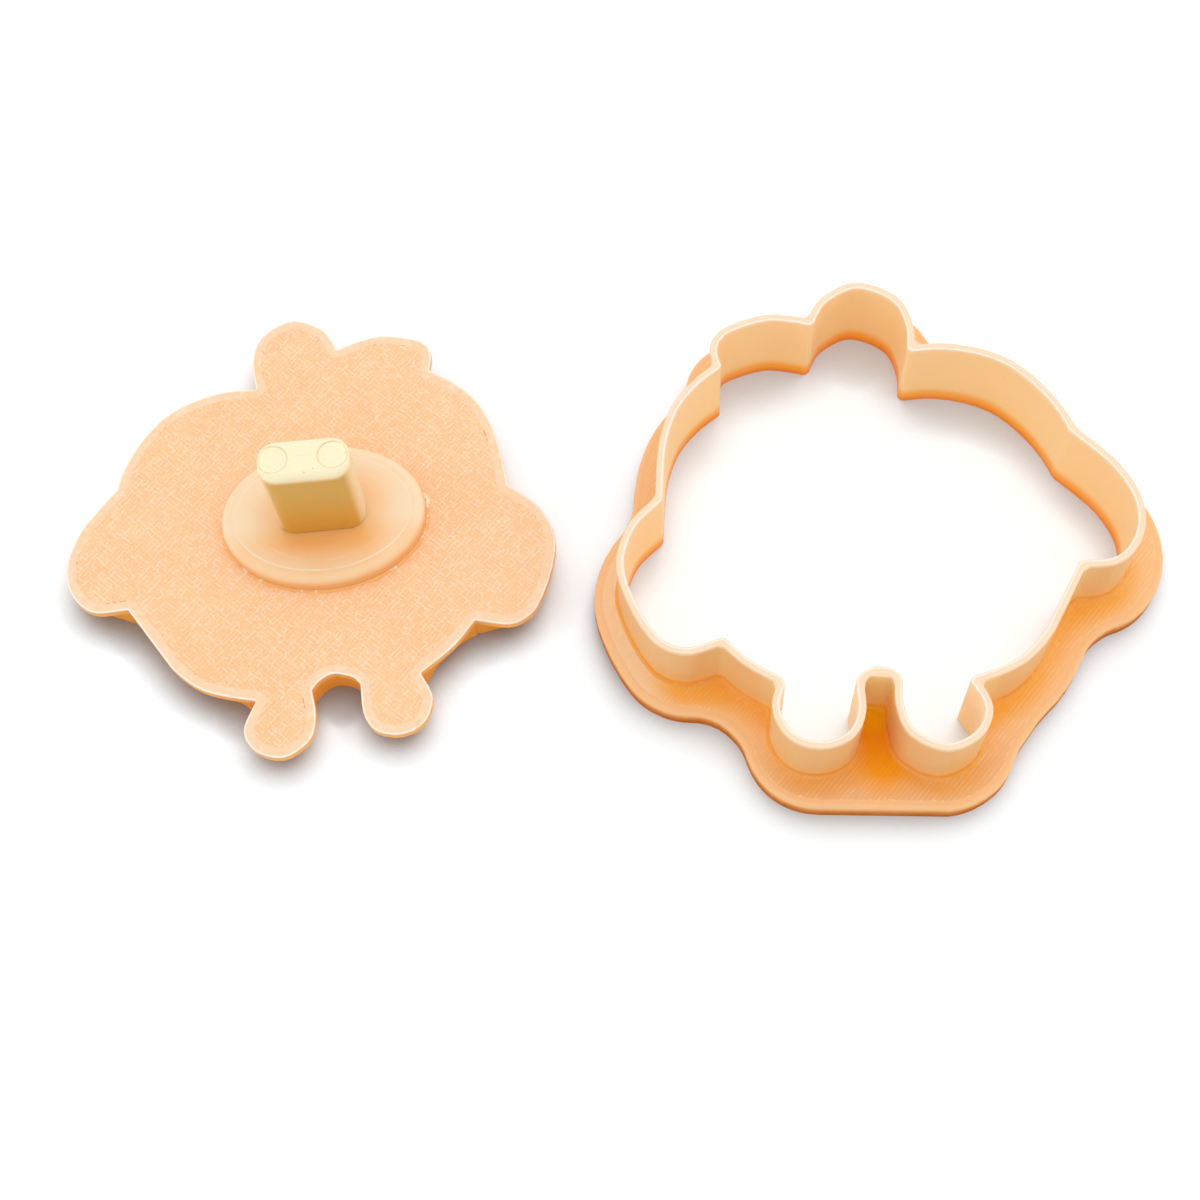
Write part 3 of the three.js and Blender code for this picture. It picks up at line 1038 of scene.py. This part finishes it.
def baseFinish(spec):
    finish = Finish("handleBasePlastic", **smoothPlastic)
    x, y, z = finish.parts(finish.place())
    fromX, fromY = x - handleMiddle.x, y - handleMiddle.y
    dx, dy = fromX / (0.5 * baseSize.x), fromY / (0.5 * baseSize.y)
    reach = (dx * dx + dy * dy).root()
    # distance from the foot of the grip, where its shade makes the plastic look deeper
    corner = spec["footCorner"]
    sideX = (abs(fromX) - 0.5 * gripSize.x + corner) | 0.0
    sideY = (abs(fromY) - 0.5 * gripSize.y + corner) | 0.0
    near = ((sideX * sideX + sideY * sideY).root() - corner).step(spec["footReach"], 0.0)
    # painted shade: deeper towards the front as well; the clouds are the plastic's own
    frontShade = dy.step(*spec["frontShade"])
    depth = near * (0.5 + 0.15 * frontShade) + frontShade * 0.34 + finish.blots(*spec["clouds"]) * 0.1
    none, full = [baseHigh.z - below for below in spec["edgeBand"]]
    # a faint line where the plastic flowed together
    place, away, close = spec["swirl"]
    size, detail, width = spec["swirlWander"]
    swirl = abs(reach - place - width * finish.noise(size, detail)).step(away, close)
    swirl = swirl * finish.blots(*spec["swirlBreaks"])
    color = finish.layered(
        spec["color"],
        (depth & 1.0, spec["deep"]),
        (z.step(none, full) * 0.9, spec["edge"]),
        (swirl * 0.5, spec["line"]),
    )
    finish.set("Base Color", color)
    finish.set("Normal", finish.bump((reach * spec["rings"]).sine() + swirl * 2, spec["ringDepth"], 0.4))
    return finish


def baseGrooveFinish(spec):
    finish = Finish("handleBaseGroove", **smoothPlastic)
    broken = finish.blots(*spec["grooveBreaks"])
    finish.set("Base Color", finish.mix(broken * 0.4, spec["color"], spec["line"]))
    return finish


def gripFinish(spec):
    finish = Finish("gripPlastic", **smoothPlastic)
    x, y, z = finish.parts(finish.place())
    fromX, fromY = x - handleMiddle.x, y - handleMiddle.y
    none, full = [gripHigh.z - below for below in spec["sideBand"]]
    side = z.step(none, full)
    ends = abs(fromX).step(*spec["endBand"])
    shadedSide = finish.mix(z.step(*spec["shadedSideBand"]), spec["shadedSide"], spec["shadedSideLow"])
    # painted shade: the sides darker below the top, less at the ends
    layers = [(side * (1 - 0.65 * ends), shadedSide)]
    for place in (-1, 1):
        dx = fromX - place * spec["markApart"] / 2
        ring = abs((dx * dx + fromY * fromY).root() - spec["markWidth"] / 2).step(*spec["ringFade"])
        layers.append((ring * (1 - side) * 0.55, spec["markLine"]))
    dash = abs(fromY - spec["dashPlace"]).step(*spec["dashWidth"]) * abs(fromX).step(*spec["dashLength"])
    layers.append((dash * (1 - side) * 0.15, spec["markLine"]))
    layers.append((finish.blots(*spec["specks"]) * 0.5, spec["speck"]))
    finish.set("Base Color", finish.layered(spec["color"], *layers))
    finish.set("Normal", finish.bump(finish.noise(*spec["grain"]), spec["grainDepth"], 0.3))
    return finish


# an upright block with rounded corners round the handle's middle, in edit mode
def roundedBlock(name, length, width, bottom, top, corner):
    middle = (handleMiddle.x, handleMiddle.y, (bottom + top) / 2)
    bpy.ops.object.select_all(action="DESELECT")
    bpy.ops.mesh.primitive_cube_add(size=1, location=middle)
    piece = bpy.context.object
    piece.name = name
    piece.scale = (length, width, top - bottom)
    settle(piece)
    startEdit(piece)
    pick(piece, "EDGE", lambda edge: abs((edge.verts[0].co - edge.verts[1].co).z) > 0.5 * (top - bottom))
    bpy.ops.mesh.bevel(offset=corner, segments=gripPiece["cornerSteps"], affect="EDGES")
    return piece


# an oval disc of the given box's size round the handle's middle
def ovalDisc(name, sides, low, high):
    bpy.ops.object.select_all(action="DESELECT")
    bpy.ops.mesh.primitive_cylinder_add(
        vertices=sides, radius=0.5, depth=high.z - low.z,
        location=(handleMiddle.x, handleMiddle.y, (low.z + high.z) / 2),
    )
    piece = bpy.context.object
    piece.name = name
    piece.scale = (high.x - low.x, high.y - low.y, 1)
    settle(piece)
    return piece


def makeBase(spec):
    top = baseHigh.z
    piece = ovalDisc("handle_base_disc", spec["sides"], baseLow, baseHigh)
    smooth, groove = baseFinish(spec), baseGrooveFinish(spec)
    for finish in (smooth, groove):
        piece.data.materials.append(finish.material)
    startEdit(piece)
    roundTop(piece, top, spec["edgeRound"], spec["edgeSteps"])
    # a fine groove inside the edge, then the dished top
    pick(piece, "FACE", facesUpAt(top))
    bpy.ops.mesh.inset(thickness=spec["rimWidth"])
    for height, within in ((-spec["grooveDepth"], groove), (spec["grooveDepth"], smooth)):
        dress(piece, groove)
        bpy.ops.mesh.inset(thickness=spec["grooveWidth"])
        raiseBy(height)
        dress(piece, within)
    bpy.ops.mesh.inset(thickness=spec["dishWidth"])
    raiseBy(-spec["dish"])
    endEdit()
    inset = spec["socketInset"]
    socket = roundedBlock(
        "socket", gripSize.x - 2 * inset, gripSize.y - 2 * inset,
        top - spec["socketDepth"], top + mm, gripPiece["corner"] - inset,
    )
    endEdit()
    cut(piece, socket)
    smoothOver(piece, spec["smoothAngle"])
    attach(piece, "stamp")
    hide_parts("handle_base")


def makeGrip(spec):
    top = gripHigh.z
    foot = baseHigh.z - basePiece["dish"]  # down on the dished top of the base
    piece = roundedBlock("handle_grip_peg", gripSize.x, gripSize.y, foot, top, spec["corner"])
    roundTop(piece, top, spec["edgeRound"], spec["edgeSteps"])
    pick(piece, "FACE", facesDown)
    bpy.ops.mesh.inset(thickness=spec["tenonInset"])
    bpy.ops.mesh.extrude_region_move(TRANSFORM_OT_translate={"value": (0, 0, -spec["tenonDepth"])})
    endEdit()
    for side in (-1, 1):
        bpy.ops.object.select_all(action="DESELECT")
        bpy.ops.mesh.primitive_cylinder_add(
            vertices=spec["markSides"], radius=spec["markWidth"] / 2, depth=2 * spec["markDepth"],
            location=(handleMiddle.x + side * spec["markApart"] / 2, handleMiddle.y, top),
        )
        mark = bpy.context.object
        settle(mark)
        cut(piece, mark)
    piece.data.materials.append(gripFinish(spec).material)
    smoothOver(piece, spec["smoothAngle"])
    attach(piece, "stamp")
    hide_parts("handle_grip")


makeBase(basePiece)
makeGrip(gripPiece)


print("scene: glue")

gluePiece = {
    "sides": 160,
    "ripple": 0.018,
    "waves": ((9, 1.0, 0.0), (23, 0.7, 1.3), (41, 0.5, 0.4)),  # number round the film, size and start
    "drops": [  # degrees round the base, and width
        (14, 0.40 * mm), (11.5, 0.52 * mm), (8.5, 0.66 * mm), (6, 0.58 * mm), (4, 0.40 * mm),
        (-4, 0.38 * mm), (-9, 0.34 * mm), (-21, 0.36 * mm), (-49, 0.46 * mm), (-52, 0.34 * mm),
        (-66, 0.30 * mm), (-95, 0.28 * mm), (160, 0.30 * mm), (118, 0.34 * mm), (74, 0.30 * mm),
    ],
    # shares of a drop's width
    "dropOut": 0.42,  # from its middle to the base
    "dropRise": 0.35,  # from its middle to the plate
    "dropFlat": 0.6,
    "dropBumps": 0.12,
    "dropWaves": (9, 7),  # radians over a drop's width, along x and along y
    "smoothAngle": 40,
    "clouds": (1.2 * mm, 2.0, 0.62, 0.72),
    "cloudDepth": 0.03 * mm,
    "color": tone(255, 240, 212),
    "clear": tone(255, 198, 126),
}


def glueFinish(spec):
    finish = Finish("driedGlue", Roughness=0.3, Specular_IOR_Level=0.25)
    cloudy = finish.blots(*spec["clouds"])
    finish.set("Base Color", finish.mix(cloudy | finish.value("drop"), spec["clear"], spec["color"]))
    finish.set("Normal", finish.bump(cloudy, spec["cloudDepth"], 0.5))
    return finish


# a squeezed-out drop that sits on the plate against the base
def makeDrop(spec, degrees, width, floor):
    angle = math.radians(degrees)
    edge = Vector((math.cos(angle) * baseSize.x / 2, math.sin(angle) * baseSize.y / 2, 0))
    middle = Vector((handleMiddle.x, handleMiddle.y, floor + spec["dropRise"] * width))
    spot = middle + edge + spec["dropOut"] * width * edge.normalized()
    wavesX, wavesY = spec["dropWaves"]
    bpy.ops.object.select_all(action="DESELECT")
    bpy.ops.mesh.primitive_ico_sphere_add(subdivisions=3, radius=width / 2, location=spot)
    drop = bpy.context.object
    settle(drop)
    for vertex in drop.data.vertices:
        away = vertex.co - spot
        bumps = math.sin(away.x / width * wavesX + degrees) + math.sin(away.y / width * wavesY + 2 * degrees)
        flat = Vector((away.x, away.y, spec["dropFlat"] * away.z))
        vertex.co = spot + flat * (1 + spec["dropBumps"] * bumps)
        vertex.co.z = max(vertex.co.z, floor)
    storeValues(drop, "drop", np.ones(len(drop.data.vertices)))
    return drop


def makeGlue(spec):
    low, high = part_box("glue_film")
    piece = ovalDisc("glue_bead", spec["sides"], low, high)
    # the film ends in an uneven line, never further out than its box
    most = sum(size for _, size, _ in spec["waves"])
    for vertex in piece.data.vertices:
        away = vertex.co - handleMiddle
        angle = math.atan2(away.y, away.x)
        wave = sum(size * math.sin(number * angle + start) for number, size, start in spec["waves"])
        shrink = 1 - spec["ripple"] * (1 + wave / most) / 2
        vertex.co.x = handleMiddle.x + away.x * shrink
        vertex.co.y = handleMiddle.y + away.y * shrink
    drops = [makeDrop(spec, degrees, width, low.z) for degrees, width in spec["drops"]]
    onlyActive(piece)
    for drop in drops:
        drop.select_set(True)
    bpy.ops.object.join()
    piece.data.materials.append(glueFinish(spec).material)
    smoothOver(piece, spec["smoothAngle"])
    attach(piece, "stamp")
    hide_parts("glue_film")


makeGlue(gluePiece)

print("scene: done")
